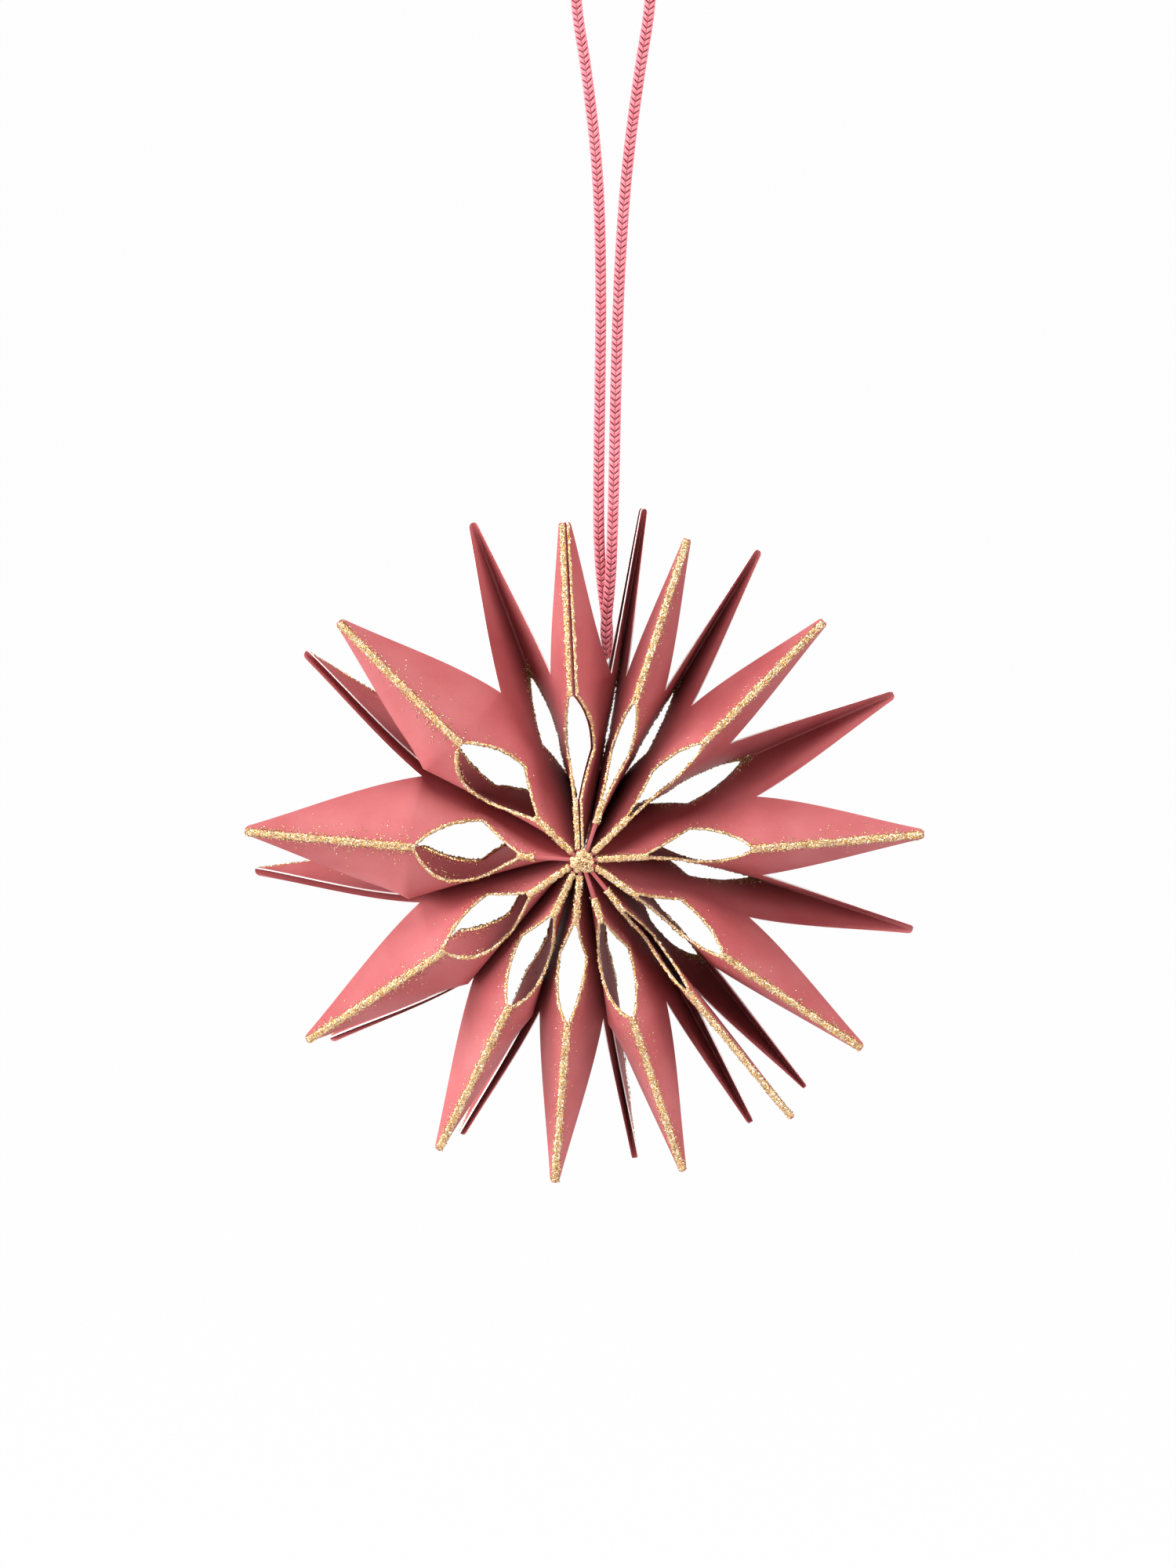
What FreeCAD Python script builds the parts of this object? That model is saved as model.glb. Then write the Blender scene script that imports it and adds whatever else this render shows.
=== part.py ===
"""Pleated paper star on a cord loop: one folded and cut strip of card, glitter glue
lines along its folds, a glue blob on each side of the hub, and the hanging cord.

Frame: +Z up, the front of the star faces -Y, +X is to the right as seen from the
front. The origin is the inside top of the cord loop, where the star hangs.
All sizes are in millimetres, and azimuths in degrees, clockwise from straight up.
"""

import FreeCAD
import Part
import os
from math import asin, cos, degrees, pi, radians, sin, tan

Vec = FreeCAD.Vector

# --- the folded strip -------------------------------------------------------
strip_depth = 28.0          # fold to fold, which is the star's depth at its hub
card = 0.30                 # card thickness
crease_gap = 0.06           # half width of the inside of a fold
pleat_clear = 0.17          # room between neighbouring pleats round the hub
tip_radius = 67.6           # hub axis to a point's tip
tip_half_depth = 9.1        # the tips stand this far in front of and behind the hub's middle
turn = -21.6                # azimuth of the first front fold where the pleats gather

# azimuths of the tips, as the pleats have settled; the first panel of the strip is
# glued on its last, so the list of folds runs once round the star
front_tips = [-3.5, 17.5, 44.5, 85.5, 125.0, 142.0, 163.0, 185.0, 205.5, 235.0, 273.5, 314.0]
back_tips = [9.5, 30.0, 64.0, 106.0, 140.0, 151.0, 172.0, 202.5, 230.5, 263.0, 303.0, 340.0]

# how far the middle of each panel bows clockwise at its notch
bows = [3.0, -0.3, 1.4, -0.9, -0.6, -1.3, 2.2, -0.9, 1.1, 1.8, -0.6, -2.4,
        2.8, -2.7, 0.8, -3.8, 0.7, -7.8, 0.4, -9.4, 4.0, -7.2, 3.6, 0.5]
# how much further clockwise a panel bows beside its right fold than beside its left one
sways = {5: -1.6, 7: -0.8, 8: -0.8, 9: -2.4, 10: -2.4, 12: -4.8, 13: 2.4, 14: -2.4, 15: -4.0,
         16: -2.4, 17: -4.6, 18: -1.6, 19: -5.4, 20: -2.4, 21: -5.4, 22: -1.2}

# --- the cuts ---------------------------------------------------------------
notch_radius = 35.4         # foot of the V between two half points
point_bulge = 2.0           # how far a half point's cut edge is drawn outward near the notch
join_bulge = -2.0           # and at the glued panels, where the cord comes out between them
tip_half_width = 0.75       # blunt end of a half point
hole_inner = 12.5           # hole on every fold: inner end, corner and outer end
hole_corner = 21.4
hole_outer = 33.6
hole_half_width = 8.0       # at the corner, along the panel
hole_bulge = 0.9            # how far its outer edges bow

# --- the glued join ---------------------------------------------------------
join_gap_hub = 0.20         # glue between the two layers, at the hub
join_gap_tip = 0.30         # and at the tips
join_gap_swell = 0.30       # more than both half way, where the cord's end lies between

# --- glitter glue -----------------------------------------------------------
glitter = 0.30              # how proud the lines stand
line_width = 0.45           # on each side of a fold or a hole's edge
blob_radius = 2.6
blob_height = 0.9
# where the line of each front fold begins, as some are bare near the hub
front_starts = [2.6, 8.0, 2.6, 2.6, 2.6, 7.2, 7.5, 2.6, 2.6, 2.6, 9.5, 2.6]

# --- the cord ---------------------------------------------------------------
cord_d = 2.1
tail_width = 4.0            # the cord's ends are pressed flat between the glued layers
tail_inner = 30.0           # radius where they end
tail_outer = 35.2           # and as far out as they are flat
tail_clear = 0.04           # glue between them and the layers
neck_d = 0.4                # threads that run from the flat end through the notch
neck = [(4.53, -0.93, 34.8), (4.38, -1.05, 38.6)]
front_foot = (4.18, -1.46, 38.1)    # the two strands begin as small ovals in the notch
back_foot = (4.56, -0.64, 38.1)
foot_half = (0.45, 0.36)    # half an oval's size across the star and along its depth
front_free = (3.7, -2.33, 43.4)     # and are round from here on
back_free = (4.4, -0.04, 43.4)
sink = 0.3                  # how far the growing stretch runs into the round one
bend_share = 0.45           # share of the shorter run beside a bend that the bend takes
loop_top = (5.2, 0.0, 180.25)   # inside top of the loop, seen from the hub's middle
front_route = [(4.84, -1.1, 54.0), (5.2, -0.5, 65.0), (5.55, -0.1, 79.0),
               (5.85, 0.0, 96.0), (6.5, 0.0, 117.0), (7.9, 0.0, 137.0), (10.4, 0.0, 156.0),
               (12.5, 0.0, 168.5), (12.5, 0.0, 176.0), (10.55, 0.0, 179.35)]
back_route = [(3.0, 1.4, 53.0), (2.4, 1.0, 61.0), (2.35, 0.3, 73.0),
              (2.65, 0.0, 92.0), (2.9, 0.0, 115.0), (2.3, 0.0, 136.0), (0.0, 0.0, 156.0),
              (-2.1, 0.0, 168.5), (-2.1, 0.0, 176.0), (-0.15, 0.0, 179.35)]
crown = [(7.15, 0.0, 181.3), (3.25, 0.0, 181.3)]

# --- sizes that follow ------------------------------------------------------
hub = Vec(-loop_top[0], -loop_top[1], -loop_top[2])
crest_half = crease_gap + card
pitch = crest_half + pleat_clear
hub_ring = (24 * pitch + card + join_gap_hub) / (2 * pi)
pitch_angle = pitch / hub_ring
extra_angle = (card + join_gap_hub) / hub_ring

# the folds in order round the star, front and back by turns: side, hub point, tip
folds = []
for i in range(24):
    tip = radians((front_tips if i % 2 == 0 else back_tips)[i // 2])
    ring = radians(turn) + i * pitch_angle + (extra_angle if i else 0.0)
    folds.append((-1 if i % 2 == 0 else 1, ring, tip))


def share(v):
    """How far out v lies, from 0 at the hub ring to 1 at the tips."""
    return (v - hub_ring) / (tip_radius - hub_ring)


def join_gap(v):
    s = share(v)
    return join_gap_hub * (1 - s) + join_gap_tip * s + join_gap_swell * 4 * s * (1 - s)


def beside(fold, hand, out, up, v):
    """Point at radius v beside a fold's middle line: `out` to its left (hand -1) or
    right (hand 1), and `up` away from the star's mid plane."""
    side, ring, tip = folds[fold % 24]
    s = share(v)
    x = hub_ring * (1 - s) * sin(ring) + tip_radius * s * sin(tip)
    z = hub_ring * (1 - s) * cos(ring) + tip_radius * s * cos(tip)
    r = (x * x + z * z) ** 0.5
    depth = strip_depth / 2 - (strip_depth / 2 - tip_half_depth) * (v / tip_radius) ** 2
    return hub + Vec(x + hand * out * z / r, side * (depth + up), z - hand * out * x / r)


def cut_range(line, ua, ub):
    """Four poles of the stretch from share ua to share ub of a Bezier arc."""
    points = []
    for p, q, r in ((ua, ua, ua), (ua, ua, ub), (ua, ub, ub), (ub, ub, ub)):
        two = []
        for i in range(3):
            two.append(line[i] * (1 - p) + line[i + 1] * p)
        one = []
        for i in range(2):
            one.append(two[i] * (1 - q) + two[i + 1] * q)
        points.append(one[0] * (1 - r) + one[1] * r)
    return points


class Panel:
    """One of the 25 panels: from fold `left` to the next, with its left skin at e = 0
    and its right skin at e = card. A panel at the strip's end has a cut edge there."""

    def __init__(self, left, right, cut=None):
        self.left = left
        self.right = right
        self.cut = cut
        a = beside(left, 1, 0, 0, tip_radius)
        b = beside(right, -1, 0, 0, tip_radius)
        lean = Vec(b.x - a.x, 0, b.z - a.z).Length / (b - a).Length
        self.miter = (1 - lean * lean) ** 0.5 / (1 + lean)
        a = beside(left, 1, 0, 0, notch_radius) - hub
        b = beside(right, -1, 0, 0, notch_radius) - hub
        middle = Vec(a.x + b.x, 0, a.z + b.z)
        self.stretch = 2 * notch_radius / middle.Length - 1
        normal = (b - a).cross(middle)
        clockwise = Vec(middle.z, 0, -middle.x)
        self.normal = normal.normalize() * (1 if normal.dot(clockwise) > 0 else -1)
        self.bulge = point_bulge if cut is None else join_bulge
        self.bow = bows[left % 24]
        self.sway = sways.get(left, 0.0)

    def edge(self, end, e, v):
        """Line of the skin e beside the left fold (end 0) or the right one (end 1)."""
        k = 1 + (self.miter - 1) * share(v)
        if end == 0:
            if self.cut == 0:
                return beside(self.left, 1, crest_half + join_gap(v) + e, 0, v)
            return beside(self.left, 1, crest_half + k * (e - card), e - card, v)
        if self.cut == 1:
            return beside(self.right, -1, crest_half + join_gap(v) + card - e, 0, v)
        return beside(self.right, -1, crest_half - k * e, -e, v)

    def width(self, v):
        return (self.edge(1, 0, v) - self.edge(0, 0, v)).Length

    def arc(self, e, v):
        """Four poles of the arc across the skin e at radius v, from fold to fold. Its bow
        grows with the radius and levels off at the tips."""
        a = self.edge(0, e, v)
        b = self.edge(1, e, v)
        out = share(v) / share(notch_radius)
        past = max(out - 1, 0) ** 2 / (2 * (1 / share(notch_radius) - 1))
        lift = ((a + b) * 0.5 - hub) * (self.stretch * out) + self.normal * (self.bow * (out - past))
        lean = self.normal * (self.sway * (out - past))
        return [a, (a * 2 + b) / 3 + (lift - lean) * (4 / 3),
                (a + b * 2) / 3 + (lift + lean) * (4 / 3), b]

    def blade(self, end, e, v):
        """Four poles across the half point at an end, from its fold to its cut edge: flat,
        but for the panel's arc, which fades out beyond the notch."""
        s = (v - notch_radius) / (tip_radius - notch_radius)
        foot = cut_range(self.arc(e, notch_radius), end, 0.5)
        near = self.edge(end, e, v)
        corner = self.edge(end, e, tip_radius)
        inward = self.edge(1 - end, e, tip_radius) - corner
        tip = corner + inward.normalize() * tip_half_width
        chord = foot[3] - foot[0]
        outward = chord / chord.Length * (self.bulge * 3 * s * (1 - s) ** 2)
        far = foot[3] * (1 - s) + tip * s + outward
        fade = (1 - s) ** 3
        line = []
        for i in range(4):
            curl = foot[i] - foot[0] - chord * (i / 3)
            line.append(near + (far - near) * (i / 3) + curl * fade)
        return line

    def poles(self, ua, ub, e, v):
        """Four poles of the stretch from share ua to share ub of the skin e at radius v.
        Beyond the notch, share 0.5 is the cut edge of either half point."""
        if v <= notch_radius:
            return cut_range(self.arc(e, v), ua, ub)
        end = 0 if ua + ub < 1 else 1
        return cut_range(self.blade(end, e, v), 2 * abs(end - ua), 2 * abs(end - ub))

    def reach(self, end, v):
        """Length per share of a skin beside its left fold (end 0) or its right one."""
        if v <= notch_radius:
            line = self.arc(0, v)
            return 3 * (line[2 * end + 1] - line[2 * end]).Length
        line = self.blade(end, 0, v)
        return 6 * (line[1] - line[0]).Length

    def hole(self, v):
        """Share of the panel that the hole takes at radius v."""
        if v < hole_corner:
            return hole_half_width * (v - hole_inner) / (hole_corner - hole_inner) / self.width(v)
        s = (v - hole_corner) / (hole_outer - hole_corner)
        return (hole_half_width * (1 - s) + hole_bulge * 4 * s * (1 - s)) / self.width(v)


def surface(rows):
    """Face on the Bezier surface with these rows of poles."""
    patch = Part.BezierSurface()
    patch.increase(len(rows) - 1, len(rows[0]) - 1)
    for i, row in enumerate(rows):
        for j, p in enumerate(row):
            patch.setPole(i + 1, j + 1, p)
    return patch.toShape()


def lengthwise(section, va, vb):
    """Face through a section that is known at every radius v, from va to vb."""
    a, b, c, d = [section(va + (vb - va) * i / 3) for i in range(4)]
    rows = []
    for p, q, r, s in zip(a, b, c, d):
        rows.append([p, (p * -5 + q * 18 - r * 9 + s * 2) / 6, (p * 2 - q * 9 + r * 18 - s * 5) / 6, s])
    return surface(rows)


def skin(panel, ua, ub, e, va, vb):
    return lengthwise(lambda v: panel.poles(ua(v), ub(v), e, v), va, vb)


def rim(panel, end, u, e0, e1, va, vb):
    """Face along the share u, counted at that end, from skin e0 to skin e1."""
    return lengthwise(lambda v: [panel.poles(end, u(v), e0, v)[3],
                                 panel.poles(end, u(v), e1, v)[3]], va, vb)


def end_cap(panel, ua, ub, e0, e1, v):
    return surface([panel.poles(ua(v), ub(v), e0, v), panel.poles(ua(v), ub(v), e1, v)])


def solid(faces):
    shell = Part.makeShell(faces)
    shell.sewShape()
    made = Part.Solid(shell)
    if made.Volume < 0:
        made.reverse()
    return made


def mirrored(end, share_of):
    """The same share, counted from the panel's left fold or from its right one."""
    return share_of if end == 0 else (lambda v: 1 - share_of(v))


def zero(v):
    return 0.0


def half(v):
    return 0.5


panels = [Panel(i, i + 1, 0 if i == 0 else None) for i in range(24)]
panels.append(Panel(0, 1, 1))
beside_fold = [(panels[i - 1], panels[i]) for i in range(24)]
beside_fold[0] = (panels[23], panels[24])


def folded_sheet():
    faces = []
    for panel in panels:
        for end in (0, 1):
            fold = mirrored(end, zero)
            middle = mirrored(end, half)
            hole = mirrored(end, panel.hole)
            bands = [(fold, middle, hub_ring, hole_inner), (hole, middle, hole_inner, hole_corner),
                     (hole, middle, hole_corner, hole_outer), (fold, middle, hole_outer, notch_radius),
                     (fold, middle, notch_radius, tip_radius)]
            for near, far, va, vb in bands:
                faces.append(skin(panel, near, far, 0, va, vb))
                faces.append(skin(panel, near, far, card, va, vb))
                if near is hole or panel.cut == end:
                    faces.append(rim(panel, end, near, 0, card, va, vb))
            faces.append(rim(panel, end, middle, 0, card, notch_radius, tip_radius))
            faces.append(end_cap(panel, fold, middle, 0, card, hub_ring))
            faces.append(end_cap(panel, fold, middle, 0, card, tip_radius))
    for left, right in beside_fold:
        def outside(v):
            return [left.edge(1, 0, v), right.edge(0, card, v)]

        def inside(v):
            return [left.edge(1, card, v), right.edge(0, 0, v)]

        for va, vb in ((hub_ring, hole_inner), (hole_outer, notch_radius), (notch_radius, tip_radius)):
            faces.append(lengthwise(outside, va, vb))
            faces.append(lengthwise(inside, va, vb))
        for v in (hub_ring, hole_inner, hole_outer, tip_radius):
            faces.append(surface([outside(v), inside(v)]))
    return solid(faces)


def outer(panel, end, inner):
    """Share of the outer side of a glitter line, from that of its inner side."""
    return lambda v: inner(v) + line_width / panel.reach(end, v)


def glitter_line(fold, start, left=None, right=None, crest=True):
    """Line of glue on a fold and round its hole, on the panels given."""
    faces = []
    runs = [(False, start, hole_inner), (True, hole_inner, hole_corner),
            (True, hole_corner, hole_outer), (False, hole_outer, notch_radius),
            (False, notch_radius, tip_radius)]
    for panel, end, e0, e1 in ((left, 1, 0, -glitter), (right, 0, card, card + glitter)):
        if panel is None:
            continue

        for round_hole, va, vb in runs:
            base = panel.hole if round_hole else zero
            near = mirrored(end, base)
            far = mirrored(end, outer(panel, end, base))
            faces.append(skin(panel, near, far, e0, va, vb))
            faces.append(skin(panel, near, far, e1, va, vb))
            faces.append(rim(panel, end, far, e0, e1, va, vb))
            if round_hole or not crest:
                faces.append(rim(panel, end, near, e0, e1, va, vb))
        near = mirrored(end, zero)
        far = mirrored(end, outer(panel, end, zero))
        for v in (start, tip_radius):
            faces.append(end_cap(panel, near, far, e0, e1, v))
    if crest:
        flanks = beside_fold[fold]

        def base(v):
            return [flanks[0].edge(1, 0, v), flanks[1].edge(0, card, v)]

        def top(v):
            a = left.edge(1, -glitter, v) if left else beside(fold, -1, crest_half, glitter, v)
            b = right.edge(0, card + glitter, v) if right else beside(fold, 1, crest_half, glitter, v)
            return [a, b]

        for va, vb in ((start, hole_inner), (hole_outer, notch_radius), (notch_radius, tip_radius)):
            faces.append(lengthwise(base, va, vb))
            faces.append(lengthwise(top, va, vb))
            for i, panel in enumerate((left, right)):
                if panel is None:
                    faces.append(lengthwise(lambda v, i=i: [base(v)[i], top(v)[i]], va, vb))
        for v in (start, hole_inner, hole_outer, tip_radius):
            faces.append(surface([base(v), top(v)]))
    return solid(faces)


def hub_blob(side):
    """Dome of glue on the folds where they meet: a cap cut from a ball."""
    ball = (blob_radius ** 2 + blob_height ** 2) / (2 * blob_height)
    middle = Vec(0, side * (strip_depth / 2 + blob_height - ball), 0)
    latitude = degrees(asin(1 - blob_height / ball))
    return Part.makeSphere(ball, hub + middle, Vec(0, side, 0), latitude, 90, 360)


def tube(points, d):
    """Round cord through straight runs joined by tangent arcs."""
    edges = []
    start = points[0]
    for before, corner, after in zip(points, points[1:], points[2:]):
        into = corner - before
        away = after - corner
        bend = into.getAngle(away)
        trim = bend_share * min(into.Length, away.Length)
        into.normalize()
        away.normalize()
        a = corner - into * trim
        b = corner + away * trim
        radius = trim / tan(bend / 2)
        inward = (away - into).normalize()
        middle = corner + inward * (radius / cos(bend / 2) - radius)
        edges.append(Part.LineSegment(start, a).toShape())
        edges.append(Part.Arc(a, middle, b).toShape())
        start = b
    edges.append(Part.LineSegment(start, points[-1]).toShape())
    path = Part.Wire(edges)
    ring = Part.Wire(Part.makeCircle(d / 2, points[0], points[1] - points[0]))
    made = path.makePipeShell([ring], True, False)
    return made


def in_join(ua, ub, v):
    """Section of the glue gap at radius v, from share ua to ub, one row beside each layer."""
    return [cut_range(panels[24].arc(card + tail_clear, v), ua, ub),
            cut_range(panels[0].arc(-tail_clear, v), ua, ub)]


def flat_end():
    """The cord's flat end, which lies in the glue gap of the join."""
    reach = tail_width / 2 / panels[0].width(tail_outer)
    ua, ub = 0.5 - reach, 0.5 + reach
    faces = [lengthwise(lambda v: in_join(ua, ub, v)[0], tail_inner, tail_outer),
             lengthwise(lambda v: in_join(ua, ub, v)[1], tail_inner, tail_outer)]
    for u in (ua, ub):
        faces.append(lengthwise(lambda v, u=u: [row[0] for row in in_join(u, u, v)], tail_inner, tail_outer))
    for v in (tail_inner, tail_outer):
        faces.append(surface(in_join(ua, ub, v)))
    return solid(faces)


def growing_strand(foot, free):
    """Stretch of a strand that grows from a small oval to the round cord."""
    away = (free - foot).normalize()
    across = away.cross(Vec(0, 1, 0)).normalize()
    depth = across.cross(away)
    oval = Part.Ellipse(foot + across * foot_half[0], foot + depth * foot_half[1], foot)
    ring = Part.makeCircle(cord_d / 2, free + away * sink, away)
    return Part.makeLoft([Part.Wire(oval.toShape()), Part.Wire(ring)], True, True)


def hanging_cord():
    """The cord: a loop whose two strands come out of the join one behind the other."""
    route = [hub + Vec(*p) for p in [front_free] + front_route + crown + back_route[::-1] + [back_free]]
    start, end = [hub + Vec(*p) for p in neck]
    threads = Part.makeCylinder(neck_d / 2, (end - start).Length, start, end - start)
    front = growing_strand(hub + Vec(*front_foot), hub + Vec(*front_free))
    back = growing_strand(hub + Vec(*back_foot), hub + Vec(*back_free))
    return tube(route, cord_d).fuse([front, back, threads, flat_end()]).Solids[0]


os.makedirs("parts", exist_ok=True)
nodes = {"pleated_star": folded_sheet()}
for i in range(12):
    number = "%02d" % (i + 1)
    left, right = beside_fold[2 * i]
    nodes["glitter_front_" + number] = glitter_line(2 * i, front_starts[i], left, right if i else None)
    left, right = beside_fold[2 * i + 1]
    nodes["glitter_back_" + number] = glitter_line(2 * i + 1, blob_radius, left if i else None, right)
nodes["glitter_join_front"] = glitter_line(0, blob_radius, None, panels[0], False)
nodes["glitter_join_back"] = glitter_line(1, blob_radius, panels[24], None, False)
nodes["hanging_cord"] = hanging_cord()
nodes["hub_blob_front"] = hub_blob(-1)
nodes["hub_blob_back"] = hub_blob(1)

for name, shape in nodes.items():
    shape.exportStep("parts/%s.step" % name)
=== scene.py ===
"""Looks of the pleated paper star: card, glitter glue, braided cord, stage and camera.

Metres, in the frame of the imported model: +Z up, the star faces -Y, and the origin is
the inside top of the cord loop. Azimuths run clockwise from straight up.
"""

import bmesh
import bpy
import numpy as np
from bpy.props import FloatProperty, FloatVectorProperty, IntProperty, PointerProperty
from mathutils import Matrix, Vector


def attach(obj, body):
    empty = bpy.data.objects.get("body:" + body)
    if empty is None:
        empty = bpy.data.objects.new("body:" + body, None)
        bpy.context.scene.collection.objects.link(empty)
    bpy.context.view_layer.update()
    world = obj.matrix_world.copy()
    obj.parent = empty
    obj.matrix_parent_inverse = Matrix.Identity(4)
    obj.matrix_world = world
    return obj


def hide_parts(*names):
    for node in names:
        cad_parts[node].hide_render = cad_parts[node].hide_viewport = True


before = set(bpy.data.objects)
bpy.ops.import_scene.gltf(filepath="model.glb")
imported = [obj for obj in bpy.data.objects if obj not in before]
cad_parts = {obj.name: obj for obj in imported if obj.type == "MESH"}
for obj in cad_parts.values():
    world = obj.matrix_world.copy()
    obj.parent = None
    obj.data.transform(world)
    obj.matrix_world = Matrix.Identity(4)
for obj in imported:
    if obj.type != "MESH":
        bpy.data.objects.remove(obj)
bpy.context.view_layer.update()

bl_info = {
    "name": "Pleated paper star",
    "version": (1, 0, 0),
    "blender": (4, 5, 0),
    "location": "View3D > Sidebar > Star",
    "description": "Builds the card, glitter glue, cord and stage of a pleated paper star",
    "category": "Add Mesh",
}

# --- the star's form, as the frame has it -----------------------------------

STRIP_DEPTH = 0.028
CARD = 0.0003
CREASE_GAP = 0.00006
PLEAT_CLEAR = 0.00017
TIP_RADIUS = 0.0676
TIP_HALF_DEPTH = 0.0091
TURN = -21.6
FRONT_TIPS = [-3.5, 17.5, 44.5, 85.5, 125.0, 142.0, 163.0, 185.0, 205.5, 235.0, 273.5, 314.0]
BACK_TIPS = [9.5, 30.0, 64.0, 106.0, 140.0, 151.0, 172.0, 202.5, 230.5, 263.0, 303.0, 340.0]
BOWS = [3.0, -0.3, 1.4, -0.9, -0.6, -1.3, 2.2, -0.9, 1.1, 1.8, -0.6, -2.4,
        2.8, -2.7, 0.8, -3.8, 0.7, -7.8, 0.4, -9.4, 4.0, -7.2, 3.6, 0.5]
SWAYS = {5: -1.6, 7: -0.8, 8: -0.8, 9: -2.4, 10: -2.4, 12: -4.8, 13: 2.4, 14: -2.4, 15: -4.0,
         16: -2.4, 17: -4.6, 18: -1.6, 19: -5.4, 20: -2.4, 21: -5.4, 22: -1.2}
NOTCH_RADIUS = 0.0354
POINT_BULGE = 0.002
JOIN_BULGE = -0.002
TIP_HALF_WIDTH = 0.00075
TIP_ROUND = 0.0006
HOLE_INNER = 0.0125
HOLE_CORNER = 0.0214
HOLE_OUTER = 0.0336
HOLE_HALF_WIDTH = 0.008
HOLE_BULGE = 0.0009
JOIN_GAP_HUB = 0.0002
JOIN_GAP_TIP = 0.0003
JOIN_GAP_SWELL = 0.0003
BLOB_RADIUS = 0.0026
FRONT_STARTS = [2.6, 8.0, 2.6, 2.6, 2.6, 7.2, 7.5, 2.6, 2.6, 2.6, 9.5, 2.6]
LOOP_TOP = (0.0052, 0.0, 0.18025)
CREST_RISE = 0.00012    # how far a crest's back stands over its chord

HUB = -np.array(LOOP_TOP)
CREST_HALF = CREASE_GAP + CARD
PITCH = CREST_HALF + PLEAT_CLEAR
HUB_RING = (24 * PITCH + CARD + JOIN_GAP_HUB) / (2 * np.pi)

FOLD = np.arange(24)
SIDE = np.where(FOLD % 2 == 0, -1.0, 1.0)
TIP = np.radians(np.stack([FRONT_TIPS, BACK_TIPS], 1).ravel())
RING = (np.radians(TURN) + FOLD * PITCH / HUB_RING
        + np.where(FOLD > 0, (CARD + JOIN_GAP_HUB) / HUB_RING, 0))

# the 25 panels: the fold on the left and right of each, and which end is a cut edge
PANEL_LEFT = np.array(list(range(24)) + [0])
PANEL_RIGHT = np.array([(i + 1) % 24 for i in range(24)] + [1])
PANEL_CUT = np.array([0] + [-1] * 23 + [1])
BULGE = np.where(PANEL_CUT < 0, POINT_BULGE, JOIN_BULGE)


def share(v):
    """How far out the radius v lies, from 0 at the hub ring to 1 at the tips."""
    return (v - HUB_RING) / (TIP_RADIUS - HUB_RING)


def beside(fold, hand, out, up, v):
    """Point at radius v beside a fold's middle line, `out` to its left (hand -1) or
    right (hand 1) and `up` away from the mid plane. The line runs straight from the
    hub ring to the tip as seen from the front, and its depth falls as v squared."""
    fold = np.asarray(fold) % 24
    s = share(v)
    near, far = HUB_RING * (1 - s), TIP_RADIUS * s
    x = near * np.sin(RING[fold]) + far * np.sin(TIP[fold])
    z = near * np.cos(RING[fold]) + far * np.cos(TIP[fold])
    r = np.hypot(x, z)
    depth = STRIP_DEPTH / 2 - (STRIP_DEPTH / 2 - TIP_HALF_DEPTH) * (v / TIP_RADIUS) ** 2
    point = np.stack(np.broadcast_arrays(x + hand * out * z / r, SIDE[fold] * (depth + up),
                                         z - hand * out * x / r), -1)
    return point + HUB


def neighbours(fold):
    """The panels on the left and the right of a fold."""
    return (fold - 1, fold) if fold else (23, 24)


def panel_facts():
    """Miter, stretch and normal of the 25 panels. The miter keeps the card's thickness
    round a fold, and the stretch puts a panel's middle at its true radius."""
    tip = np.full(25, TIP_RADIUS)
    a, b = beside(PANEL_LEFT, 1, 0, 0, tip), beside(PANEL_RIGHT, -1, 0, 0, tip)
    lean = np.hypot(b[:, 0] - a[:, 0], b[:, 2] - a[:, 2]) / np.linalg.norm(b - a, axis=1)
    miter = np.sqrt(1 - lean ** 2) / (1 + lean)
    notch = np.full(25, NOTCH_RADIUS)
    a = beside(PANEL_LEFT, 1, 0, 0, notch) - HUB
    b = beside(PANEL_RIGHT, -1, 0, 0, notch) - HUB
    middle = (a + b) * (1, 0, 1)
    stretch = 2 * NOTCH_RADIUS / np.linalg.norm(middle, axis=1) - 1
    normal = np.cross(b - a, middle)
    clockwise = np.stack([middle[:, 2], 0 * middle[:, 0], -middle[:, 0]], 1)
    normal *= np.sign((normal * clockwise).sum(1))[:, None]
    return miter, stretch, normal / np.linalg.norm(normal, axis=1)[:, None]


MITER, STRETCH, NORMAL = panel_facts()
BOW = np.array(BOWS + BOWS[:1]) * 0.001
SWAY = np.array([SWAYS.get(i, 0.0) for i in range(25)]) * 0.001


def panel_edge(panel, end, e, v):
    """Line of the skin e (0 left, CARD right) of a panel beside its left or right fold."""
    k = 1 + (MITER[panel] - 1) * share(v)
    s = share(v)
    gap = JOIN_GAP_HUB * (1 - s) + JOIN_GAP_TIP * s + JOIN_GAP_SWELL * 4 * s * (1 - s)
    if end == 0:
        cut = PANEL_CUT[panel] == 0
        out = np.where(cut, CREST_HALF + gap + e, CREST_HALF + k * (e - CARD))
        return beside(PANEL_LEFT[panel], 1, out, np.where(cut, 0, e - CARD), v)
    cut = PANEL_CUT[panel] == 1
    out = np.where(cut, CREST_HALF + gap + CARD - e, CREST_HALF - k * e)
    return beside(PANEL_RIGHT[panel], -1, out, np.where(cut, 0, -e), v)


def panel_width(panel, v):
    return np.linalg.norm(panel_edge(panel, 1, 0, v) - panel_edge(panel, 0, 0, v), axis=-1)


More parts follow.
